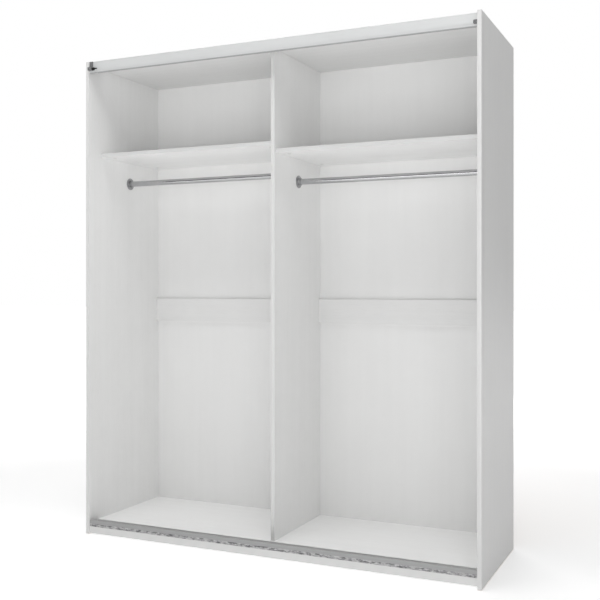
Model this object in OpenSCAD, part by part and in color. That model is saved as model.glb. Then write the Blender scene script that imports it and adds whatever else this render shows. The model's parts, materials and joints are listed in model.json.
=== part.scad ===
// Two-bay wardrobe for sliding doors: the carcase with its door tracks, shelves and
// clothes rods, standing without its doors.
// Millimetres. Z is up, the front faces -Y, and the origin is on the floor under the
// middle of the carcase.

/* [Carcase] */
// Height over all, from the floor to the top of the side panels
height = 2100; // [1700:1:2600]
// Width over both side panels
width = 1780; // [1200:1:2600]
// Depth of the right side panel, with its edge band
side_depth = 577; // [480:1:700]
// How far the left side panel stops short of the right one at the front
left_set_back = 26; // [0:1:30]
// Thickness of the chipboard panels
board = 16; // [15:1:22]
// Thickness of the edge bands glued on the visible front edges
band = 1; // [0.5:0.1:2]
// Thickness of the hardboard back
back_t = 3; // [3:0.5:5]
// Distance from the middle to the fold in each half of the back
fold_x = 290; // [150:1:320]
// Width of the flexible strip in each fold
fold_w = 3; // [2:0.5:5]

/* [Partition and shelves] */
// Gap between the tracks and the partition's front edge
partition_gap = 8; // [2:1:40]
// Shelves' front edge behind the partition's front edge
shelf_gap = 12; // [0:1:60]
// Clear height of the hat compartment over the left shelf
hat_space = 382; // [250:1:450]
// How much lower the right shelf and rod are, one step of the hole rows
shelf_stagger = 32; // [32:1:64]
// Height of the stiffening traverses at the back
traverse_height = 110; // [80:1:160]
// Height of the traverses' lower edge over the floor
traverse_z = 933; // [500:1:1100]

/* [Base] */
// Underside of the bottom panel over the floor
base_height = 36; // [30:1:90]
// Gap between the plinth and the floor
plinth_gap = 4; // [3:1:10]
// Thickness of the nailed floor glides
glide_t = 2; // [2:0.5:4]
// Diameter of the floor glides
glide_d = 14; // [12:0.5:15]
// Rear plinth's back face in front of the hardboard
rear_plinth_inset = 40; // [20:1:80]

/* [Door tracks] */
// Fascia and bottom track behind the right side panel's front edge
track_set_back = 32; // [31:1:36]
// Depth of both tracks, from front to back
track_depth = 60; // [50:1:62]
// Height of the fascia in front of the top panel
fascia_height = 47; // [45:1:60]
// How far the guide track's front wall shows under the fascia
seam_height = 3; // [1:0.5:5]
// Wall of the aluminium profiles
track_wall = 2; // [1.5:0.1:2.5]
// Height of the double guide track under the top panel
guide_height = 20; // [16:1:24]
// Height of the bottom track's front wall
track_front_height = 30; // [20:1:40]
// Height of the bottom track's inner walls
bottom_track_height = 12; // [10:1:14]
// Height of the running ribs in the bottom track
run_rib_height = 4; // [3:0.5:5]
// Length of the bottom track's flange under the bottom panel
flange_depth = 28; // [20:1:40]

/* [End stops] */
// Length of the left stop block along the track
left_stop_length = 20; // [16:1:30]
// Length of the right stop block along the track
right_stop_length = 18; // [10:1:24]
// Height of the stop blocks
stop_height = 14; // [13:1:16]
// Reach of the left stop block in front of the fascia
left_stop_reach = 17; // [12:1:18]
// Reach of the right stop block in front of the fascia
right_stop_reach = 9; // [8:1:18]
// Middle of the clamping ridge below the fascia's top edge
ridge_drop = 34; // [30:1:36]
// Running gap around the clamping ridge
ridge_gap = 0.3; // [0.3:0.1:0.4]

/* [Clothes rods] */
// Diameter of the rods
rod_d = 25; // [20:1:30]
// Wall of the rods
rod_wall = 1.2; // [1:0.1:2]
// Rod's axis below its shelf
rod_drop = 98; // [60:1:140]
// Rod's axis in front of the hardboard
rod_from_back = 239; // [200:1:260]
// Diameter of the sockets' flanges
flange_d = 54; // [50:1:64]
// Thickness of the sockets' flanges
flange_t = 3; // [2.5:0.5:4]
// Depth of the sockets' collars
collar_depth = 14; // [10:1:20]
// Wall of the sockets' collars
collar_wall = 2.5; // [2:0.5:4]
// Radial gap in which a rod turns in its socket
rod_gap = 0.3; // [0.3:0.1:0.5]

/* [Fittings] */
// Diameter of the cam housings
cam_d = 15; // [14:1:16]
// Depth of the cam housings
cam_depth = 12.5; // [12:0.5:13.5]
// Cam's middle behind the joint
cam_reach = 34; // [30:1:40]
// Diameter of the cam bolts
bolt_d = 7; // [6:0.5:7]
// Diameter of the bolts' thread in the upright
thread_d = 5; // [5:0.5:6]
// Depth of the thread in the upright
thread_depth = 11; // [9:1:12]
// Diameter of the cover caps on the cams
cap_d = 17; // [17:1:20]
// Thickness of the cover caps
cap_t = 1.2; // [1:0.1:2]
// Diameter of the wooden dowels
dowel_d = 8; // [6:1:8]
// Depth of a dowel in the face that it enters
dowel_in_face = 11; // [10:1:12]
// Depth of a dowel in the end grain
dowel_in_end = 19; // [15:1:24]
// Largest distance between two nails of the back
nail_pitch = 260; // [150:10:400]

/* [Hidden] */
$fn = 48;

// A hair's breadth that lets a cut run past the face it opens
over = 1;

white = [0.93, 0.93, 0.92];
silver = [0.78, 0.79, 0.80];
steel = [0.62, 0.62, 0.63];
dark = [0.22, 0.22, 0.23];

// Planes across the wardrobe
half_w = width / 2;
inner_x = half_w - board;
post_x = board / 2;
bay_w = inner_x - post_x;

// Planes from front to back
front_y = -(side_depth + back_t) / 2;
back_y = front_y + side_depth;
left_front_y = front_y + left_set_back;
track_y = front_y + track_set_back;
track_back_y = track_y + track_depth;
partition_y = track_back_y + partition_gap;
shelf_y = partition_y + shelf_gap;
rod_y = back_y - rod_from_back;
rear_plinth_y = back_y - rear_plinth_inset - board;

// Levels
ceiling_z = height - board;
floor_z = base_height + board;
track_z = base_height - track_wall;
left_shelf_z = ceiling_z - hat_space;
right_shelf_z = left_shelf_z - shelf_stagger;
left_rod_z = left_shelf_z - board - rod_drop;
right_rod_z = right_shelf_z - board - rod_drop;
ridge_z = height - ridge_drop;
fascia_foot_z = height - fascia_height;

// The back leaves a little of the carcase's edge free all round
back_margin = 1;
back_x = half_w - back_margin;
back_z0 = base_height + back_margin;
back_z1 = height - back_margin;

// Places of the joints along a board's end, in front of the hardboard or behind its front
cam_inset = 60;
dowel_inset = 110;
fitting_step = 24;
plinth_dowel_drop = 7;

// Shape of the cam fittings
bolt_play = 0.5;
bolt_neck_l = 3;
bolt_neck_r = bolt_d / 2 - 1.5;
bolt_head_r = bolt_d / 2 - 0.5;
cam_slot_l = 7;
cam_slot_w = 1.2;
cam_slot_depth = 1;

// ---- Joints: each entry is [place on the joint's plane, rotation] ----
// The local +X runs into the board that carries the cam, the local +Z to the cam's mouth

to_right_up = [0, 0, 0];
to_left_up = [0, 0, 180];
to_right_down = [180, 0, 0];
to_left_down = [180, 0, 180];
to_right_rear = [-90, 0, 0];
to_left_rear = [90, 0, 180];
down_from_top = [0, 90, 180];
up_from_bottom = [0, -90, 0];

function cam_rows(y0) = [y0 + cam_inset, back_y - cam_inset];
function dowel_rows(y0) = [y0 + dowel_inset, back_y - dowel_inset];

// Joints at both ends of a level board between x0 and x1
function level_joints(x0, x1, rows, z, left_turn, right_turn) = [
    for (y = rows) each [[[x0, y, z], left_turn], [[x1, y, z], right_turn]]
];

shelf_boards = [
    [-inner_x, -post_x, left_shelf_z - board / 2],
    [post_x, inner_x, right_shelf_z - board / 2]
];
traverse_y = back_y - board / 2;
traverse_mid_z = traverse_z + traverse_height / 2;

top_cams = level_joints(-inner_x, inner_x, cam_rows(track_back_y), height - board / 2,
    to_right_up, to_left_up);
bottom_cams = level_joints(-inner_x, inner_x, cam_rows(track_back_y), base_height + board / 2,
    to_right_down, to_left_down);
shelf_cams = [
    for (s = shelf_boards)
        each level_joints(s[0], s[1], cam_rows(shelf_y), s[2], to_right_down, to_left_down)
];
// The fittings of the two traverses share the partition, so each has a height of its own
left_traverse_fittings = [1.5 * fitting_step, -0.5 * fitting_step];
right_traverse_fittings = [0.5 * fitting_step, -1.5 * fitting_step];
traverses = [
    [-inner_x, -post_x, left_traverse_fittings],
    [post_x, inner_x, right_traverse_fittings]
];
traverse_cams = [
    for (t = traverses)
        each level_joints(t[0], t[1], [traverse_y], traverse_mid_z + t[2][0],
            to_right_rear, to_left_rear)
];
partition_cams = [
    for (y = cam_rows(partition_y))
        each [[[0, y, ceiling_z], down_from_top], [[0, y, floor_z], up_from_bottom]]
];
CAMS = concat(top_cams, bottom_cams, shelf_cams, traverse_cams, partition_cams);
CAPPED = concat(shelf_cams, partition_cams);

top_dowels = level_joints(-inner_x, inner_x, dowel_rows(track_back_y), height - board / 2,
    to_right_up, to_left_up);
bottom_dowels = level_joints(-inner_x, inner_x, dowel_rows(track_back_y), base_height + board / 2,
    to_right_up, to_left_up);
shelf_dowels = [
    for (s = shelf_boards)
        each level_joints(s[0], s[1], [shelf_y + dowel_inset], s[2], to_right_up, to_left_up)
];
traverse_dowels = [
    for (t = traverses)
        each level_joints(t[0], t[1], [traverse_y], traverse_mid_z + t[2][1],
            to_right_up, to_left_up)
];
partition_dowels = [
    for (y = dowel_rows(partition_y))
        each [[[0, y, ceiling_z], down_from_top], [[0, y, floor_z], up_from_bottom]]
];
plinth_dowels = [
    for (y = [track_y + board / 2, rear_plinth_y + board / 2])
        for (z = [plinth_gap + plinth_dowel_drop, track_z - plinth_dowel_drop])
            each [[[-inner_x, y, z], to_right_up], [[inner_x, y, z], to_left_up]]
];
DOWELS = concat(top_dowels, bottom_dowels, shelf_dowels, traverse_dowels, partition_dowels,
    plinth_dowels);

// ---- Nails of the back: places on the hardboard's front face ----
nail_d = 1.8;
nail_length = 20;
nail_head_d = 5;
nail_head_t = 1;
seam_nail_x = 4;
nail_inset_z = 30;
nail_inset_x = 50;

function spread(a, b) = let (n = ceil((b - a) / nail_pitch)) [for (i = [0 : n]) a + (b - a) * i / n];
nail_rows_z = spread(floor_z + nail_inset_z, ceiling_z - nail_inset_z);
nail_rows_x = concat(spread(-inner_x + nail_inset_x, -post_x - nail_inset_x),
    spread(post_x + nail_inset_x, inner_x - nail_inset_x));
NAILS = concat(
    [for (x = [-half_w + board / 2, -seam_nail_x, seam_nail_x, half_w - board / 2])
        for (z = nail_rows_z) [x, back_y, z]],
    [for (z = [base_height + board / 2, height - board / 2])
        for (x = nail_rows_x) [x, back_y, z]]
);

// ---- Wood screws: [place on the board's surface, rotation] with the shank along local -Z ----
screw_d = 3.5;
screw_length = 12;
fascia_screw_length = 4;
screw_head_d = 7;
screw_head_h = 1.8;
drive_l = 4;
drive_w = 0.8;
drive_depth = 0.8;
into_up = [180, 0, 0];
into_front = [-90, 0, 0];
into_left = [0, 90, 0];
into_right = [0, -90, 0];

// Rows of screws along the tracks keep clear of the ends
track_screw_inset = 60;
track_screw_steps = 5;
guide_screw_offset = 20;
function track_row(i) = -inner_x + track_screw_inset
    + (2 * inner_x - 2 * track_screw_inset) * i / track_screw_steps;
channel_w = (track_depth - 3 * track_wall) / 2;
function channel_y(side) = track_y + track_depth / 2 + side * (channel_w + track_wall) / 2;

// The fascia is held from behind, through the guide track's front wall
FASCIA_SCREWS = [
    for (i = [0 : track_screw_steps]) [[track_row(i), track_y + track_wall, ridge_z], into_front]
];
GUIDE_SCREWS = [
    for (i = [0 : track_screw_steps])
        for (side = [-1, 1])
            [[track_row(i) + side * guide_screw_offset, channel_y(side), ceiling_z], into_up]
];
BOTTOM_SCREWS = [
    for (i = [0 : track_screw_steps])
        [[track_row(i), track_back_y + flange_depth / 2, base_height], into_up]
];

// Rod sockets: [place of the axis on the upright, rotation of the screws, direction into the bay]
LEFT_OUTER = [[-inner_x, rod_y, left_rod_z], into_left, 1];
LEFT_INNER = [[-post_x, rod_y, left_rod_z], into_right, -1];
RIGHT_INNER = [[post_x, rod_y, right_rod_z], into_left, 1];
RIGHT_OUTER = [[inner_x, rod_y, right_rod_z], into_right, -1];
SOCKETS = [LEFT_OUTER, LEFT_INNER, RIGHT_INNER, RIGHT_OUTER];
socket_bore_r = rod_d / 2 + rod_gap;
collar_r = socket_bore_r + collar_wall;
socket_screw_r = (collar_r + flange_d / 2) / 2;
SOCKET_SCREWS = [
    for (s = SOCKETS) for (a = [90, 210, 330])
        [s[0] + socket_screw_r * [0, cos(a), sin(a)], s[1]]
];
WOOD_SCREWS = concat(GUIDE_SCREWS, BOTTOM_SCREWS, SOCKET_SCREWS);

// ---- Helpers ----
module block(lo, hi) {
    translate(lo) cube(hi - lo);
}

// An outline given in Y and Z, drawn along X over the given span
module profile_x(x0, x1) {
    translate([x0, 0, 0]) rotate([90, 0, 90]) linear_extrude(x1 - x0) children();
}

// True where a place lies in or on a box
function touches(p, lo, hi) = let (e = over / 10)
    p[0] > lo[0] - e && p[0] < hi[0] + e && p[1] > lo[1] - e && p[1] < hi[1] + e
    && p[2] > lo[2] - e && p[2] < hi[2] + e;

module at(j) {
    translate(j[0]) rotate(j[1]) children();
}

module rod_x(x0, x1, r) {
    translate([x0, 0, 0]) rotate([0, 90, 0]) cylinder(h = x1 - x0, r = r);
}

// Two crossed slots that a driver fits in
module cross_slot(l, w, h) {
    for (a = [0, 90]) rotate(a) translate([-l / 2, -w / 2, 0]) cube([l, w, h]);
}

module cam_cut() {
    rod_x(-thread_depth, 0, thread_d / 2);
    rod_x(-over, cam_reach, bolt_d / 2 + bolt_play);
    translate([cam_reach, 0, board / 2 - cam_depth]) cylinder(h = cam_depth + over, d = cam_d);
}

module cam_bolt() {
    rod_x(-thread_depth, 0, thread_d / 2);
    rod_x(0, cam_reach - 2 * bolt_neck_l, bolt_d / 2);
    rod_x(cam_reach - 2 * bolt_neck_l, cam_reach - bolt_neck_l, bolt_neck_r);
    rod_x(cam_reach - bolt_neck_l, cam_reach, bolt_head_r);
}

module cam_housing() {
    translate([cam_reach, 0, board / 2 - cam_depth])
        difference() {
            cylinder(h = cam_depth, d = cam_d);
            translate([-cam_d, 0, cam_depth - board / 2])
                rod_x(0, cam_d + bolt_d / 2, bolt_d / 2 + bolt_play);
            translate([0, 0, cam_depth - cam_slot_depth])
                cross_slot(cam_slot_l, cam_slot_w, cam_slot_depth + over);
        }
}

module dowel() {
    rod_x(-dowel_in_face, dowel_in_end, dowel_d / 2);
}

module nail() {
    rotate([90, 0, 0]) translate([0, 0, -back_t]) {
        cylinder(h = nail_length, d = nail_d);
        cylinder(h = nail_head_t, d = nail_head_d);
    }
}

// A countersunk screw through a fitting of thickness t
module countersunk_screw(t, length = screw_length) {
    translate([0, 0, -length]) cylinder(h = length + t - screw_head_h, d = screw_d);
    translate([0, 0, t - screw_head_h]) cylinder(h = screw_head_h, d1 = screw_d, d2 = screw_head_d);
}

module screw_group(list, t, length = screw_length) {
    for (s = list) at(s) difference() {
        countersunk_screw(t, length);
        translate([0, 0, t - drive_depth]) cross_slot(drive_l, drive_w, drive_depth + over);
    }
}

// A chipboard panel with the holes of every joint, nail and screw that touches it
module panel(lo, hi) {
    color(white) difference() {
        block(lo, hi);
        for (j = CAMS) if (touches(j[0], lo, hi)) at(j) cam_cut();
        for (j = DOWELS) if (touches(j[0], lo, hi)) at(j) dowel();
        for (p = NAILS) if (touches(p, lo, hi)) translate(p) nail();
        for (s = WOOD_SCREWS) if (touches(s[0], lo, hi)) at(s) countersunk_screw(0);
    }
}

// ---- Panels ----
module left_side_panel() {
    panel([-half_w, left_front_y + band, glide_t], [-inner_x, back_y, height]);
}

module right_side_panel() {
    panel([inner_x, front_y + band, glide_t], [half_w, back_y, height]);
}

module centre_partition() {
    panel([-post_x, partition_y + band, floor_z], [post_x, back_y, ceiling_z]);
}

module top_panel() {
    panel([-inner_x, track_y + track_wall, ceiling_z], [inner_x, back_y, height]);
}

module bottom_panel() {
    panel([-inner_x, track_back_y + band, base_height], [inner_x, back_y, floor_z]);
}

module left_shelf() {
    panel([-inner_x, shelf_y + band, left_shelf_z - board], [-post_x, back_y, left_shelf_z]);
}

module right_shelf() {
    panel([post_x, shelf_y + band, right_shelf_z - board], [inner_x, back_y, right_shelf_z]);
}

module traverse(x0, x1) {
    panel([x0, back_y - board, traverse_z], [x1, back_y, traverse_z + traverse_height]);
}

module left_traverse() {
    traverse(-inner_x, -post_x);
}

module right_traverse() {
    traverse(post_x, inner_x);
}

module front_plinth() {
    panel([-inner_x, track_y, plinth_gap], [inner_x, track_y + board, track_z]);
}

module rear_plinth() {
    panel([-inner_x, rear_plinth_y, plinth_gap], [inner_x, rear_plinth_y + board, base_height]);
}

module centre_support() {
    panel([-post_x, track_back_y + flange_depth + over, glide_t], [post_x, rear_plinth_y, base_height]);
}

// ---- Edge bands ----
module left_side_edge_band() {
    color(white) block([-half_w, left_front_y, glide_t], [-inner_x, left_front_y + band, height]);
}

module right_side_edge_band() {
    color(white) block([inner_x, front_y, glide_t], [half_w, front_y + band, height]);
}

module partition_edge_band() {
    color(white) block([-post_x, partition_y, floor_z], [post_x, partition_y + band, ceiling_z]);
}

module bottom_panel_edge_band() {
    color(white)
        block([-inner_x, track_back_y, base_height], [inner_x, track_back_y + band, floor_z]);
}

module left_shelf_edge_band() {
    color(white)
        block([-inner_x, shelf_y, left_shelf_z - board], [-post_x, shelf_y + band, left_shelf_z]);
}

module right_shelf_edge_band() {
    color(white)
        block([post_x, shelf_y, right_shelf_z - board], [inner_x, shelf_y + band, right_shelf_z]);
}

// ---- Folded hardboard back ----
module back_leaf(x0, x1) {
    color(white) difference() {
        block([x0, back_y, back_z0], [x1, back_y + back_t, back_z1]);
        for (p = NAILS) if (p[0] > x0 && p[0] < x1) translate(p) nail();
    }
}

module back_left_outer() {
    back_leaf(-back_x, -fold_x - fold_w / 2);
}

module back_left_inner() {
    back_leaf(-fold_x + fold_w / 2, 0);
}

module back_right_inner() {
    back_leaf(0, fold_x - fold_w / 2);
}

module back_right_outer() {
    back_leaf(fold_x + fold_w / 2, back_x);
}

module fold_strip(x) {
    color(white)
        block([x - fold_w / 2, back_y, back_z0], [x + fold_w / 2, back_y + back_t, back_z1]);
}

module left_fold_strip() {
    fold_strip(-fold_x);
}

module right_fold_strip() {
    fold_strip(fold_x);
}

// ---- Door tracks ----
// Dovetail ridge on the fascia, which the end stops clamp on
ridge_neck = 5;
ridge_head = 8;
ridge_t = 2.5;
function ridge_outline(gap) = [
    [track_y, ridge_z - ridge_neck / 2 - gap],
    [track_y - ridge_t - gap, ridge_z - ridge_head / 2 - gap],
    [track_y - ridge_t - gap, ridge_z + ridge_head / 2 + gap],
    [track_y, ridge_z + ridge_neck / 2 + gap]
];

// A drawn line near the fascia's top edge
fascia_line_z = height - 6.5;
fascia_line_w = 2.5;
fascia_line_t = 0.8;
fascia_outline = concat(
    [[track_y + track_wall, fascia_foot_z], [track_y, fascia_foot_z]],
    ridge_outline(0),
    [
        [track_y, fascia_line_z],
        [track_y + fascia_line_t, fascia_line_z],
        [track_y + fascia_line_t, fascia_line_z + fascia_line_w],
        [track_y, fascia_line_z + fascia_line_w],
        [track_y, height],
        [track_y + track_wall, height]
    ]
);

module top_fascia() {
    color(silver) difference() {
        profile_x(-inner_x, inner_x) polygon(fascia_outline);
        for (s = FASCIA_SCREWS) at(s)
            translate([0, 0, -fascia_screw_length])
                cylinder(h = fascia_screw_length + over, d = screw_d);
    }
}

module top_guide_track() {
    color(silver) difference() {
        profile_x(-inner_x, inner_x) {
            translate([track_y + track_wall, ceiling_z - track_wall])
                square([track_depth - track_wall, track_wall]);
            translate([track_y + track_wall, fascia_foot_z - seam_height])
                square([track_wall, ceiling_z - fascia_foot_z + seam_height]);
            for (y = [track_y + (track_depth - track_wall) / 2, track_back_y - track_wall])
                translate([y, ceiling_z - guide_height]) square([track_wall, guide_height]);
        }
        for (s = GUIDE_SCREWS) at(s) countersunk_screw(track_wall);
        for (s = FASCIA_SCREWS) at(s) countersunk_screw(track_wall, fascia_screw_length);
    }
}

module bottom_track() {
    color(silver) difference() {
        profile_x(-inner_x, inner_x) {
            translate([track_y, track_z]) square([track_depth + flange_depth, track_wall]);
            translate([track_y, track_z]) square([track_wall, track_front_height]);
            for (y = [track_y + (track_depth - track_wall) / 2, track_back_y - track_wall])
                translate([y, track_z]) square([track_wall, bottom_track_height]);
            for (side = [-1, 1]) translate([channel_y(side), track_z + track_wall]) {
                translate([-track_wall / 2, 0])
                    square([track_wall, run_rib_height - track_wall / 2]);
                translate([0, run_rib_height - track_wall / 2]) circle(d = track_wall);
            }
        }
        for (s = BOTTOM_SCREWS) at(s) countersunk_screw(track_wall);
    }
}

// ---- End stops: each is [left end, length, reach] ----
LEFT_STOP = [-inner_x + ridge_gap, left_stop_length, left_stop_reach];
RIGHT_STOP = [inner_x - ridge_gap - right_stop_length, right_stop_length, right_stop_reach];
arm_w = 18;
arm_t = 2.5;
grub_d = 4;
grub_sink = 1;
socket_key = 2;
buffer_head_d = 12;
buffer_head_l = 10;
buffer_tip_d = 5;
buffer_tip_l = 14;
buffer_y = track_y - ridge_gap - left_stop_reach / 2;
pad_t = 2;
pad_inset = 1.5;

module stop_block(s) {
    difference() {
        block([s[0], track_y - ridge_gap - s[2], ridge_z - stop_height / 2],
            [s[0] + s[1], track_y - ridge_gap, ridge_z + stop_height / 2]);
        profile_x(s[0] - over, s[0] + s[1] + over) polygon(ridge_outline(ridge_gap));
        grub_screw(s, grub_sink + over);
    }
}

// A grub screw that clamps a block on the ridge, drawn loosened by the running gap
module at_grub(s) {
    translate([s[0] + s[1] / 2, track_y - ridge_t - ridge_gap, ridge_z])
        rotate([90, 0, 0]) children();
}

function grub_length(s) = s[2] - ridge_t - grub_sink;

module grub_screw(s, extra = 0) {
    at_grub(s) cylinder(h = grub_length(s) + extra, d = grub_d);
}

module keyed_grub_screw(s) {
    color(steel) difference() {
        grub_screw(s);
        at_grub(s) translate([0, 0, grub_length(s) - socket_key])
            cylinder(h = socket_key + over, d = socket_key, $fn = 6);
    }
}

module left_end_stop() {
    color(dark) {
        stop_block(LEFT_STOP);
        block([LEFT_STOP[0], track_y - ridge_gap - arm_t, ridge_z + stop_height / 2],
            [LEFT_STOP[0] + arm_w, track_y - ridge_gap, height]);
    }
}

module right_end_stop() {
    color(dark) stop_block(RIGHT_STOP);
}

module left_stop_buffer() {
    x0 = LEFT_STOP[0] + left_stop_length;
    color(dark) translate([0, buffer_y, ridge_z]) {
        rod_x(x0, x0 + buffer_head_l, buffer_head_d / 2);
        rod_x(x0 + buffer_head_l, x0 + buffer_head_l + buffer_tip_l, buffer_tip_d / 2);
    }
}

module right_stop_buffer() {
    color(dark)
        block([RIGHT_STOP[0] - pad_t, track_y - ridge_gap - right_stop_reach + pad_inset,
                ridge_z - stop_height / 2 + pad_inset],
            [RIGHT_STOP[0], track_y - ridge_t - 2 * ridge_gap,
                ridge_z + stop_height / 2 - pad_inset]);
}

module left_stop_screw() {
    keyed_grub_screw(LEFT_STOP);
}

module right_stop_screw() {
    keyed_grub_screw(RIGHT_STOP);
}

// ---- Clothes rods and their sockets ----
// A rod stops a little short of the closed ends of its sockets
rod_end_gap = 1;

module rod(x0, x1, z) {
    color(silver) translate([0, rod_y, z]) difference() {
        rod_x(x0 + flange_t + rod_end_gap, x1 - flange_t - rod_end_gap, rod_d / 2);
        rod_x(x0, x1, rod_d / 2 - rod_wall);
    }
}

module left_rod() {
    rod(-inner_x, -post_x, left_rod_z);
}

module right_rod() {
    rod(post_x, inner_x, right_rod_z);
}

module rod_socket(s) {
    color(steel) difference() {
        translate(s[0]) rotate([0, s[2] * 90, 0]) difference() {
            union() {
                cylinder(h = flange_t, d = flange_d);
                cylinder(h = collar_depth, r = collar_r);
            }
            translate([0, 0, flange_t]) cylinder(h = collar_depth, r = socket_bore_r);
        }
        for (j = SOCKET_SCREWS)
            if (abs(j[0][0] - s[0][0]) < over && abs(j[0][2] - s[0][2]) < flange_d)
                at(j) countersunk_screw(flange_t);
    }
}

module left_rod_outer_socket() {
    rod_socket(LEFT_OUTER);
}

module left_rod_inner_socket() {
    rod_socket(LEFT_INNER);
}

module right_rod_inner_socket() {
    rod_socket(RIGHT_INNER);
}

module right_rod_outer_socket() {
    rod_socket(RIGHT_OUTER);
}

// ---- Fasteners ----
module socket_screws() {
    color(steel) screw_group(SOCKET_SCREWS, flange_t);
}

module fascia_screws() {
    color(steel) screw_group(FASCIA_SCREWS, track_wall, fascia_screw_length);
}

module guide_track_screws() {
    color(steel) screw_group(GUIDE_SCREWS, track_wall);
}

module bottom_track_screws() {
    color(steel) screw_group(BOTTOM_SCREWS, track_wall);
}

module cam_housings() {
    color(steel) for (j = CAMS) at(j) cam_housing();
}

module cam_bolts() {
    color(steel) for (j = CAMS) at(j) cam_bolt();
}

module cam_caps() {
    color(white) for (j = CAPPED) at(j)
        translate([cam_reach, 0, board / 2]) cylinder(h = cap_t, d = cap_d);
}

module dowels() {
    color("tan") for (j = DOWELS) at(j) dowel();
}

module back_nails() {
    color(steel) for (p = NAILS) translate(p) nail();
}

// ---- Floor glides ----
glide_inset = 40;
module floor_glides() {
    color(dark) {
        for (y = [left_front_y + glide_inset, back_y - glide_inset])
            translate([-half_w + board / 2, y, 0]) cylinder(h = glide_t, d = glide_d);
        for (y = [front_y + glide_inset, back_y - glide_inset])
            translate([half_w - board / 2, y, 0]) cylinder(h = glide_t, d = glide_d);
        for (y = [track_back_y + flange_depth + glide_inset, rear_plinth_y - glide_inset])
            translate([0, y, 0]) cylinder(h = glide_t, d = glide_d);
    }
}

left_side_panel();
right_side_panel();
centre_partition();
top_panel();
bottom_panel();
left_shelf();
right_shelf();
left_traverse();
right_traverse();
front_plinth();
rear_plinth();
centre_support();
left_side_edge_band();
right_side_edge_band();
partition_edge_band();
bottom_panel_edge_band();
left_shelf_edge_band();
right_shelf_edge_band();
back_left_outer();
back_left_inner();
back_right_inner();
back_right_outer();
left_fold_strip();
right_fold_strip();
top_fascia();
top_guide_track();
bottom_track();
left_end_stop();
left_stop_buffer();
left_stop_screw();
right_end_stop();
right_stop_buffer();
right_stop_screw();
left_rod();
right_rod();
left_rod_outer_socket();
left_rod_inner_socket();
right_rod_inner_socket();
right_rod_outer_socket();
socket_screws();
cam_housings();
cam_bolts();
cam_caps();
dowels();
back_nails();
fascia_screws();
guide_track_screws();
bottom_track_screws();
floor_glides();
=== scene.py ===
import json
import math

import bmesh
import bpy
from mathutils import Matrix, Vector


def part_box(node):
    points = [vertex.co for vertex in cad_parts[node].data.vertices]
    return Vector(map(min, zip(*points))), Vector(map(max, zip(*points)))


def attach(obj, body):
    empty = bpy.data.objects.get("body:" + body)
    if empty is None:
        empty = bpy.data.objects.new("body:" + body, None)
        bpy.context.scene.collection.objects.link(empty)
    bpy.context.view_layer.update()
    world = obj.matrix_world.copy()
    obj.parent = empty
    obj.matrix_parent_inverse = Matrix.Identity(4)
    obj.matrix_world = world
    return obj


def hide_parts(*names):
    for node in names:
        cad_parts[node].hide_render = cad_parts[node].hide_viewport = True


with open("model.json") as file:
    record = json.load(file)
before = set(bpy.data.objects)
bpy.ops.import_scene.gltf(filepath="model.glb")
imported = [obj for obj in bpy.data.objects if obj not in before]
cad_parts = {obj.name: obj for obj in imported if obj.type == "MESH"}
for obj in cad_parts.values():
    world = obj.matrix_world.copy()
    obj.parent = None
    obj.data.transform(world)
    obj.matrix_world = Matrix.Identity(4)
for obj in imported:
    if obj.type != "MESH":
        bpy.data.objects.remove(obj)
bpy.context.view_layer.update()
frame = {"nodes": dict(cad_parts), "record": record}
NODES = frame["nodes"]
SLOTS = {s["node"]: s["material_slot"] for s in frame["record"]["subparts"]}
BODIES = {n: b for b, names in frame["record"]["behaviour"]["bodies"].items() for n in names}

MM = 0.001
BLACK = (0.0, 0.0, 0.0)

# Places on the pieces where one finish gives way to another
RAW_FOOT_HEIGHT = 2.3 * MM
REAR_OF_LACQUER = 288.0 * MM
SCREEN_PITCH = 1.6 * MM
TRACK_FRONT_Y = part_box("bottom_track")[0][1]
TRACK_FOOT_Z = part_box("bottom_track")[0][2]
TRACK_FRONT_SKIN = 0.3 * MM
PATCHY_FOOT_HEIGHT = 12.5 * MM


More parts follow.
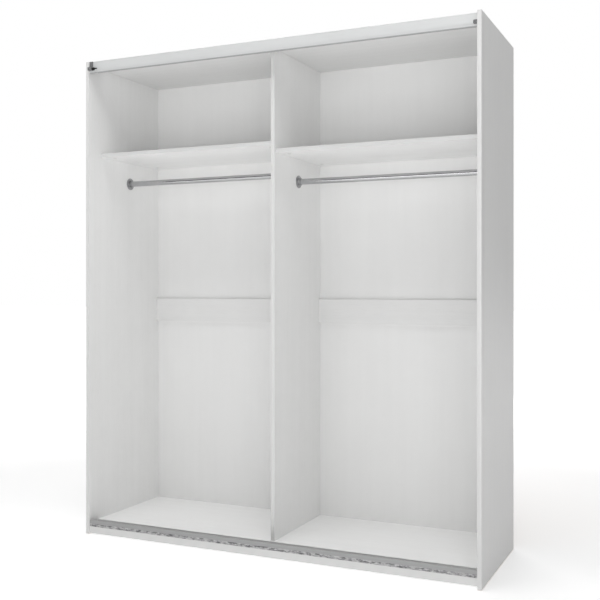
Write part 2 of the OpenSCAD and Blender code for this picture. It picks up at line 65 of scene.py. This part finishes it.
# ---- Material graphs ----
class Finish:
    """A node material under construction, with one Principled shader."""

    def __init__(self, name):
        self.material = bpy.data.materials.new(name)
        self.material.use_nodes = True
        self.tree = self.material.node_tree
        self.tree.nodes.clear()
        self.shader = self.add("ShaderNodeBsdfPrincipled")
        output = self.add("ShaderNodeOutputMaterial")
        self.link(self.shader.outputs["BSDF"], output.inputs["Surface"])
        self.place = self.add("ShaderNodeTexCoord").outputs["Object"]

    def add(self, kind, **settings):
        node = self.tree.nodes.new(kind)
        for key, value in settings.items():
            setattr(node, key, value)
        return node

    def link(self, source, target):
        self.tree.links.new(source, target)

    def put(self, target, value):
        """Sets a socket to a number, or links it."""
        if isinstance(value, bpy.types.NodeSocket):
            self.link(value, target)
        else:
            target.default_value = value

    def scaled(self, per_metre):
        """The place on the object, stretched by a factor along each axis."""
        mapping = self.add("ShaderNodeMapping", vector_type="POINT")
        self.link(self.place, mapping.inputs["Vector"])
        mapping.inputs["Scale"].default_value = per_metre
        return mapping.outputs["Vector"]

    def noise(self, per_metre, detail=3.0, roughness=0.5, distortion=0.0):
        node = self.add("ShaderNodeTexNoise")
        self.link(self.scaled(per_metre), node.inputs["Vector"])
        node.inputs["Scale"].default_value = 1.0
        node.inputs["Detail"].default_value = detail
        node.inputs["Roughness"].default_value = roughness
        node.inputs["Distortion"].default_value = distortion
        return node.outputs["Fac"]

    def math(self, operation, a, b=0.0):
        node = self.add("ShaderNodeMath", operation=operation)
        self.put(node.inputs[0], a)
        self.put(node.inputs[1], b)
        return node.outputs[0]

    def span(self, value, from_min, from_max, to_min=0.0, to_max=1.0):
        """value, with one range carried onto another and held inside it."""
        node = self.add("ShaderNodeMapRange", clamp=True)
        self.put(node.inputs["Value"], value)
        for socket, number in (("From Min", from_min), ("From Max", from_max),
                               ("To Min", to_min), ("To Max", to_max)):
            node.inputs[socket].default_value = number
        return node.outputs["Result"]

    def blend(self, factor, low, high):
        node = self.add("ShaderNodeMix", data_type="RGBA")
        self.put(node.inputs["Factor"], factor)
        for socket, value in ((node.inputs[6], low), (node.inputs[7], high)):
            self.put(socket, value if isinstance(value, bpy.types.NodeSocket) else rgba(value))
        return node.outputs[2]

    def axis(self, letter):
        node = self.add("ShaderNodeSeparateXYZ")
        self.link(self.place, node.inputs[0])
        return node.outputs[letter]

    def bump(self, height, depth, strength):
        node = self.add("ShaderNodeBump")
        node.inputs["Strength"].default_value = strength
        node.inputs["Distance"].default_value = depth
        self.link(height, node.inputs["Height"])
        return node.outputs["Normal"]

    def finish(self, color, roughness, normal=None, metallic=0.0, specular=0.5):
        shader = self.shader.inputs
        self.put(shader["Base Color"], color)
        self.put(shader["Roughness"], roughness)
        shader["Metallic"].default_value = metallic
        shader["Specular IOR Level"].default_value = specular
        if normal is not None:
            self.link(normal, shader["Normal"])
        return self.material


def rgba(color):
    return (*color, 1.0)


def along(axis, across, length):
    """Scales for a texture with features as fine as across, drawn out along one axis."""
    return tuple(length if letter == axis else across for letter in "XYZ")


def foil(name, grain, white=(0.91, 0.91, 0.905)):
    """White decor foil with a shallow embossed wood grain and raw chipboard underneath."""
    f = Finish(name)
    figure = f.noise(along(grain, 34.0, 0.9), detail=4.0, roughness=0.55, distortion=0.4)
    pores = f.noise(along(grain, 620.0, 15.0), detail=2.0, roughness=0.6)
    mottle = f.noise((9.0, 9.0, 9.0), detail=3.0)
    pit = f.span(pores, 0.36, 0.46)
    tone = f.span(figure, 0.3, 0.7, 0.972, 1.0)
    tone = f.math("MULTIPLY", tone, f.span(pit, 0.0, 1.0, 0.965, 1.0))
    tone = f.math("MULTIPLY", tone, f.span(mottle, 0.3, 0.7, 0.985, 1.0))
    color = f.blend(tone, BLACK, white)
    chips = f.add("ShaderNodeTexVoronoi", feature="F1")
    f.link(f.scaled((260.0, 260.0, 260.0)), chips.inputs["Vector"])
    chips.inputs["Scale"].default_value = 1.0
    chip_tone = f.add("ShaderNodeSeparateColor")
    f.link(chips.outputs["Color"], chip_tone.inputs[0])
    board = f.blend(chip_tone.outputs[0], (0.30, 0.20, 0.11), (0.56, 0.42, 0.26))
    raw_foot = f.math("LESS_THAN", f.axis("Z"), RAW_FOOT_HEIGHT)
    color = f.blend(raw_foot, color, board)
    roughness = f.span(f.math("ADD", figure, mottle), 0.7, 1.3, 0.40, 0.50)
    height = f.math("ADD", f.math("MULTIPLY", pit, 0.7), f.math("MULTIPLY", figure, 0.5))
    return f.finish(color, roughness, f.bump(height, 0.10 * MM, 0.55))


def edge_band(name, grain, white):
    """Smooth white plastic banding, with faint draw lines along it and a few scuffs."""
    f = Finish(name)
    lines = f.noise(along(grain, 900.0, 3.0), detail=2.0)
    scuffs = f.noise((60.0, 60.0, 22.0), detail=5.0, roughness=0.7)
    worn = f.span(scuffs, 0.62, 0.72)
    tone = f.math("SUBTRACT", f.span(lines, 0.3, 0.7, 0.985, 1.0), f.math("MULTIPLY", worn, 0.03))
    color = f.blend(tone, BLACK, white)
    roughness = f.math("ADD", f.span(lines, 0.3, 0.7, 0.30, 0.38), f.math("MULTIPLY", worn, 0.15))
    return f.finish(color, roughness, f.bump(lines, 0.04 * MM, 0.4))


def hardboard(name, lacquered_to):
    """Hardboard: white lacquer in front of the plane lacquered_to, bare brown fibre behind it."""
    f = Finish(name)
    fibre = f.noise((420.0, 420.0, 420.0), detail=5.0, roughness=0.65)
    cloud = f.noise((7.0, 7.0, 5.0), detail=4.0)
    figure = f.noise(along("Z", 40.0, 1.2), detail=3.0)
    tone = f.math("MULTIPLY", f.span(cloud, 0.3, 0.7, 0.982, 1.0),
                  f.span(figure, 0.3, 0.7, 0.985, 1.0))
    lacquer = f.blend(tone, BLACK, (0.85, 0.85, 0.845))
    brown = f.blend(f.span(fibre, 0.3, 0.7), (0.175, 0.104, 0.056), (0.30, 0.19, 0.108))
    brown = f.blend(f.span(cloud, 0.35, 0.65, 0.0, 0.12), brown, (0.12, 0.07, 0.04))
    bare = f.math("GREATER_THAN", f.axis("Y"), lacquered_to)
    color = f.blend(bare, lacquer, brown)
    weave = f.math("MULTIPLY", screen_line(f, "X"), screen_line(f, "Z"))
    rough_side = f.math("MULTIPLY", f.math("ADD", weave, fibre), bare)
    smooth_side = f.math("MULTIPLY", fibre, 0.12)
    normal = f.bump(f.math("ADD", rough_side, smooth_side), 0.12 * MM, 0.7)
    roughness = f.math("ADD", f.span(fibre, 0.3, 0.7, 0.40, 0.48), f.math("MULTIPLY", bare, 0.38))
    return f.finish(color, roughness, normal)


def screen_line(f, letter):
    """A ripple along one axis, as the press screen leaves it in hardboard."""
    phase = f.math("MULTIPLY", f.axis(letter), 2 * math.pi / SCREEN_PITCH)
    return f.span(f.math("SINE", phase), -1.0, 1.0)


def drawn_metal(name, color, dark, rough, metallic):
    """Extruded aluminium with draw lines along X."""
    f = Finish(name)
    lines = f.noise(along("X", 1500.0, 5.0), detail=3.0, roughness=0.6)
    cloud = f.noise(along("X", 60.0, 8.0), detail=4.0, roughness=0.6)
    tone = f.math("ADD", f.math("MULTIPLY", lines, 0.6), f.math("MULTIPLY", cloud, 0.4))
    surface = f.blend(f.span(tone, 0.35, 0.65), dark, color)
    roughness = f.span(tone, 0.3, 0.7, rough[0], rough[1])
    return f.finish(surface, roughness, f.bump(lines, 0.03 * MM, 0.35), metallic=metallic)


def patchy_foot_track(name):
    """Mill-finish running track: a plain grey front wall, darker and lighter in patches along its
    foot.
    """
    f = Finish(name)
    lines = f.noise((6.0, 1500.0, 1500.0), detail=3.0, roughness=0.6)
    patches = f.noise((48.0, 170.0, 170.0), detail=4.0, roughness=0.7)
    plain = f.blend(f.span(lines, 0.35, 0.65), (0.34, 0.34, 0.34), (0.39, 0.39, 0.395))
    # Darker and lighter patches on the lowest part of the front wall
    foot_patches = f.blend(f.span(patches, 0.40, 0.60), (0.13, 0.13, 0.135), (0.56, 0.56, 0.56))
    on_foot = f.math("LESS_THAN", f.axis("Z"), TRACK_FOOT_Z + PATCHY_FOOT_HEIGHT)
    on_front = f.math("LESS_THAN", f.axis("Y"), TRACK_FRONT_Y + TRACK_FRONT_SKIN)
    surface = f.blend(f.math("MULTIPLY", on_foot, on_front), plain, foot_patches)
    roughness = f.span(f.math("ADD", lines, patches), 0.7, 1.3, 0.36, 0.50)
    height = f.math("ADD", lines, f.math("MULTIPLY", patches, 0.4))
    return f.finish(surface, roughness, f.bump(height, 0.05 * MM, 0.4), metallic=0.30)


def polished_metal(name, color, rough):
    """Plated metal with fine polishing lines and a little haze."""
    f = Finish(name)
    haze = f.noise((35.0, 35.0, 35.0), detail=4.0)
    lines = f.noise((420.0, 90.0, 90.0), detail=2.0)
    color = f.blend(f.span(haze, 0.3, 0.7), tuple(0.9 * c for c in color), color)
    roughness = f.math("ADD", f.span(haze, 0.3, 0.7, rough[0], rough[1]),
                       f.span(lines, 0.4, 0.7, 0.0, 0.03))
    return f.finish(color, roughness, f.bump(lines, 0.01 * MM, 0.25), metallic=1.0)


def moulded(name, color, rough, specular=0.4):
    """Moulded plastic or rubber with a fine spark-eroded texture."""
    f = Finish(name)
    fine = f.noise((1100.0, 1100.0, 1100.0), detail=3.0, roughness=0.6)
    cloud = f.noise((70.0, 70.0, 70.0), detail=3.0)
    color = f.blend(f.span(cloud, 0.3, 0.7), tuple(0.86 * c for c in color), color)
    roughness = f.math("ADD", f.span(fine, 0.3, 0.7, rough[0], rough[1]),
                       f.span(cloud, 0.3, 0.7, 0.0, 0.05))
    return f.finish(color, roughness, f.bump(fine, 0.05 * MM, 0.5), specular=specular)


def turned_wood(name):
    """Plain beech with short flecks along the grain."""
    f = Finish(name)
    figure = f.noise(along("X", 700.0, 40.0), detail=4.0)
    flecks = f.span(f.noise(along("X", 1400.0, 260.0), detail=1.0), 0.58, 0.68)
    color = f.blend(f.span(figure, 0.3, 0.7), (0.50, 0.32, 0.17), (0.68, 0.48, 0.28))
    color = f.blend(f.math("MULTIPLY", flecks, 0.5), color, (0.34, 0.19, 0.09))
    return f.finish(color, f.span(figure, 0.3, 0.7, 0.5, 0.65), f.bump(figure, 0.05 * MM, 0.5))


# The foil of the boards that are not upright is a lighter copy of the upright foil: painted light
# on the shelf undersides.
FOIL = {"X": foil("foil_grain_across_painted_light", "X", white=(0.945, 0.945, 0.94)),
        "Z": foil("foil_grain_upright", "Z"), "Y": foil("foil_grain_deep", "Y")}
# The edge bands are greyer copies of the white banding, the lying ones greyest: painted shade on
# the front edges.
BAND = {"X": edge_band("band_across_painted_shade", "X", (0.66, 0.66, 0.655)),
        "Z": edge_band("band_upright_painted_shade", "Z", (0.715, 0.715, 0.71))}
FINISHES = {
    "white_hardboard": hardboard("folded_hardboard", REAR_OF_LACQUER),
    "fold_strip": hardboard("hardboard_fold", REAR_OF_LACQUER),
    "anodised_aluminium": drawn_metal("pale_anodised_profile", (0.74, 0.75, 0.75),
                                      (0.70, 0.71, 0.71), (0.40, 0.50), metallic=0.25),
    "bright_aluminium": patchy_foot_track("running_track_patchy_foot"),
    "chromed_rod": polished_metal("chromed_tube", (0.52, 0.52, 0.53), (0.12, 0.20)),
    "cast_socket": polished_metal("satin_plated_casting", (0.42, 0.42, 0.43), (0.30, 0.42)),
    "dark_plastic": moulded("grey_moulding", (0.185, 0.187, 0.19), (0.42, 0.55)),
    "rubber_buffer": moulded("black_rubber", (0.012, 0.012, 0.012), (0.62, 0.78), 0.25),
    "zinc_screw": polished_metal("zinc_plated_steel", (0.56, 0.57, 0.58), (0.26, 0.38)),
    "cast_zinc": polished_metal("die_cast_zinc", (0.42, 0.43, 0.44), (0.38, 0.50)),
    "bright_nail": polished_metal("drawn_wire_steel", (0.55, 0.55, 0.55), (0.28, 0.40)),
    "white_cap": moulded("white_plastic_cap", (0.80, 0.80, 0.79), (0.34, 0.46)),
    "beech": turned_wood("turned_beech"),
    "glide_plastic": moulded("grey_glide_plastic", (0.06, 0.06, 0.065), (0.40, 0.55)),
}
# The guide track is a darker grey copy of the track aluminium: painted shade for the dark line
# under the fascia.
GUIDE_PAINTED_SHADE = drawn_metal("guide_profile_painted_shade", (0.54, 0.54, 0.545), (0.46, 0.46, 0.465),
                    (0.40, 0.52), metallic=0.30)
# Lighter and darker copies of the same white foil, one per place: painted light on the bottom
# panel, painted shade on the top panel, the traverses, the plinths and the right side.
FLOOR_FOIL_PAINTED_LIGHT = foil("foil_of_bottom_panel_painted_light", "X", white=(0.975, 0.975, 0.97))
CEILING_FOIL_PAINTED_SHADE = foil("foil_of_top_panel_painted_shade", "X", white=(0.89, 0.89, 0.885))
TRAVERSE_FOIL_PAINTED_SHADE = foil("foil_of_traverses_painted_shade", "X", white=(0.81, 0.81, 0.805))
PLINTH_FOIL_PAINTED_SHADE = foil("foil_of_plinths_painted_shade", "X", white=(0.74, 0.74, 0.735))
OUTER_FOIL_PAINTED_SHADE = foil("foil_of_right_side_painted_shade", "Z", white=(0.815, 0.815, 0.81))
# The bottom panel's edge band is a much lighter copy of the banding: painted light against the
# shade in the track's groove.
FLOOR_BAND_PAINTED_LIGHT = edge_band("band_of_bottom_panel_painted_light", "X", (0.92, 0.92, 0.915))
UPRIGHT_BOARDS = ("left_side_panel", "right_side_panel", "centre_partition")
UPRIGHT_BANDS = ("left_side_edge_band", "right_side_edge_band", "partition_edge_band")
# Nodes whose finish differs from that of their material slot; most are lighter and darker copies of
# the white foil and banding, with painted light and painted shade in their colour
OWN_FINISHES = {
    "top_guide_track": GUIDE_PAINTED_SHADE,
    "bottom_panel": FLOOR_FOIL_PAINTED_LIGHT,
    "top_panel": CEILING_FOIL_PAINTED_SHADE,
    "left_traverse": TRAVERSE_FOIL_PAINTED_SHADE,
    "right_traverse": TRAVERSE_FOIL_PAINTED_SHADE,
    "front_plinth": PLINTH_FOIL_PAINTED_SHADE,
    "rear_plinth": PLINTH_FOIL_PAINTED_SHADE,
    "right_side_panel": OUTER_FOIL_PAINTED_SHADE,
    "centre_support": FOIL["Y"],
    "bottom_panel_edge_band": FLOOR_BAND_PAINTED_LIGHT,
}


def finish_of(node):
    """The node's own finish, or else its slot's, with the grain along the board."""
    if node in OWN_FINISHES:
        return OWN_FINISHES[node]
    slot = SLOTS[node]
    if slot == "white_foil_board":
        return FOIL["Z" if node in UPRIGHT_BOARDS else "X"]
    if slot == "white_edge_band":
        return BAND["Z" if node in UPRIGHT_BANDS else "X"]
    return FINISHES[slot]


# ---- Pieces with rounded edges ----
SHARP_ANGLE = math.radians(35.0)
FLAT_ANGLE = math.radians(0.4)
WELD = 0.003 * MM
# Edges of boards and profiles shorter than this are the facets of holes, and stay sharp
HOLE_EDGE = 10 * MM


def rounded(node, radius, segments=2, shortest=0.0):
    """The node's own shape with its sharp edges rounded, apart from those shorter than shortest."""
    shape = bmesh.new()
    shape.from_mesh(NODES[node].data)
    bmesh.ops.remove_doubles(shape, verts=shape.verts, dist=WELD)
    bmesh.ops.dissolve_limit(shape, angle_limit=FLAT_ANGLE, use_dissolve_boundaries=False,
                             verts=shape.verts, edges=shape.edges)
    edges = [e for e in shape.edges if len(e.link_faces) == 2 and e.calc_length() > shortest
             and e.calc_face_angle(0.0) > SHARP_ANGLE]
    bmesh.ops.bevel(shape, geom=edges, offset=radius, offset_type="OFFSET", segments=segments,
                    profile=0.5, affect="EDGES", clamp_overlap=True)
    for face in shape.faces:
        face.smooth = True
    mesh = bpy.data.meshes.new(node + "_finished")
    shape.to_mesh(mesh)
    shape.free()
    mesh.set_sharp_from_angle(angle=SHARP_ANGLE)
    piece = bpy.data.objects.new(node + "_finished", mesh)
    bpy.context.scene.collection.objects.link(piece)
    even = piece.modifiers.new("even_shading", "WEIGHTED_NORMAL")
    even.keep_sharp = True
    mesh.materials.append(finish_of(node))
    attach(piece, BODIES[node])
    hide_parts(node)
    return piece


BOARDS = [n for n, s in SLOTS.items() if s == "white_foil_board"]
BANDS = [n for n, s in SLOTS.items() if s == "white_edge_band"]
for board in BOARDS:
    rounded(board, 0.35 * MM, shortest=HOLE_EDGE)
for band in BANDS:
    rounded(band, 0.30 * MM)
for profile in ("top_fascia", "top_guide_track", "bottom_track"):
    rounded(profile, 0.25 * MM, shortest=HOLE_EDGE)
for stop in ("left_end_stop", "right_end_stop", "right_stop_buffer"):
    rounded(stop, 0.5 * MM, segments=3, shortest=1.5 * MM)
for socket in [n for n, s in SLOTS.items() if s == "cast_socket"]:
    rounded(socket, 0.6 * MM, segments=3)
rounded("left_stop_buffer", 0.8 * MM, segments=4)
rounded("cam_caps", 0.45 * MM, segments=3)
rounded("floor_glides", 0.5 * MM, segments=3)

for name, node in NODES.items():
    node.data.materials.clear()
    node.data.materials.append(finish_of(name))

# ---- Camera ----
CAMERA_AT = (1.6485, -3.5236, 1.0927)
CAMERA_TURN = math.radians(24.5745)
LENS_MM = 54.151
SENSOR_MM = 36.0
SHIFT_Y = -0.01945
FARTHEST_SEEN = 200.0

camera_data = bpy.data.cameras.new("camera")
camera = bpy.data.objects.new("camera", camera_data)
bpy.context.scene.collection.objects.link(camera)
camera.location = CAMERA_AT
camera.rotation_euler = (math.pi / 2, 0.0, CAMERA_TURN)
camera_data.sensor_width = SENSOR_MM
camera_data.lens = LENS_MM
camera_data.shift_y = SHIFT_Y
camera_data.clip_end = FARTHEST_SEEN
bpy.context.scene.camera = camera

# ---- Studio ----
# name, place, point that it faces, width and height, power in watts
LIGHTS = (
    ("front_fill", (2.6, -5.2, 1.6), (0.0, 0.0, 1.0), (3.0, 2.4), 53.0),
    ("front_low", (0.0, -5.5, 0.9), (0.0, 0.0, 0.9), (4.0, 1.6), 32.0),
    ("overhead", (0.0, -1.2, 5.0), (0.0, -0.4, 0.0), (4.5, 3.5), 174.0),
    ("side_fill", (5.0, 0.6, 3.4), (0.9, 0.0, 1.9), (2.6, 2.6), 8.0),
    ("rear_fill", (-1.5, 5.0, 2.6), (0.0, 0.3, 1.0), (3.2, 2.4), 130.0),
)
WORLD_LIGHT = 0.02
WORLD_SEEN = 1.0

for name, place, target, size, watts in LIGHTS:
    lamp_data = bpy.data.lights.new(name, "AREA")
    lamp_data.shape = "RECTANGLE"
    lamp_data.size, lamp_data.size_y = size
    lamp_data.energy = watts
    lamp = bpy.data.objects.new(name, lamp_data)
    bpy.context.scene.collection.objects.link(lamp)
    lamp.location = place
    lamp.rotation_euler = (Vector(target) - Vector(place)).to_track_quat("-Z", "Y").to_euler()

world = bpy.data.worlds.new("studio")
world.use_nodes = True
bpy.context.scene.world = world
wires = world.node_tree
background = wires.nodes["Background"]
ray = wires.nodes.new("ShaderNodeLightPath")
seen = wires.nodes.new("ShaderNodeMapRange")
wires.links.new(ray.outputs["Is Camera Ray"], seen.inputs["Value"])
seen.inputs["To Min"].default_value = WORLD_LIGHT
seen.inputs["To Max"].default_value = WORLD_SEEN
background.inputs["Color"].default_value = (1.0, 1.0, 1.0, 1.0)
wires.links.new(seen.outputs["Result"], background.inputs["Strength"])

FLOOR_SIDE = 80.0
# The paper's own light near the wardrobe and far from it, and the radii of the change
FLOOR_GLOW = 0.38
SWEEP_GLOW = 1.12
GLOW_FROM = 2.2
GLOW_TO = 7.0
PAPER_WHITE = (0.92, 0.92, 0.92)
PAPER_ROUGHNESS = 0.9
floor_shape = bmesh.new()
bmesh.ops.create_grid(floor_shape, x_segments=1, y_segments=1, size=FLOOR_SIDE / 2)
floor_mesh = bpy.data.meshes.new("studio_floor")
floor_shape.to_mesh(floor_mesh)
floor_shape.free()
floor = bpy.data.objects.new("studio_floor", floor_mesh)
bpy.context.scene.collection.objects.link(floor)
paper = Finish("studio_paper")
paper_tone = paper.span(paper.noise((3.0, 3.0, 3.0)), 0.3, 0.7, 0.99, 1.0)
radius = paper.add("ShaderNodeVectorMath", operation="LENGTH")
paper.link(paper.place, radius.inputs[0])
glow = paper.span(radius.outputs["Value"], GLOW_FROM, GLOW_TO, FLOOR_GLOW, SWEEP_GLOW)
paper.link(glow, paper.shader.inputs["Emission Strength"])
paper.shader.inputs["Emission Color"].default_value = rgba((1.0, 1.0, 1.0))
floor_mesh.materials.append(
    paper.finish(paper.blend(paper_tone, BLACK, PAPER_WHITE), PAPER_ROUGHNESS, specular=0.1))

bpy.context.scene.view_settings.view_transform = "Standard"
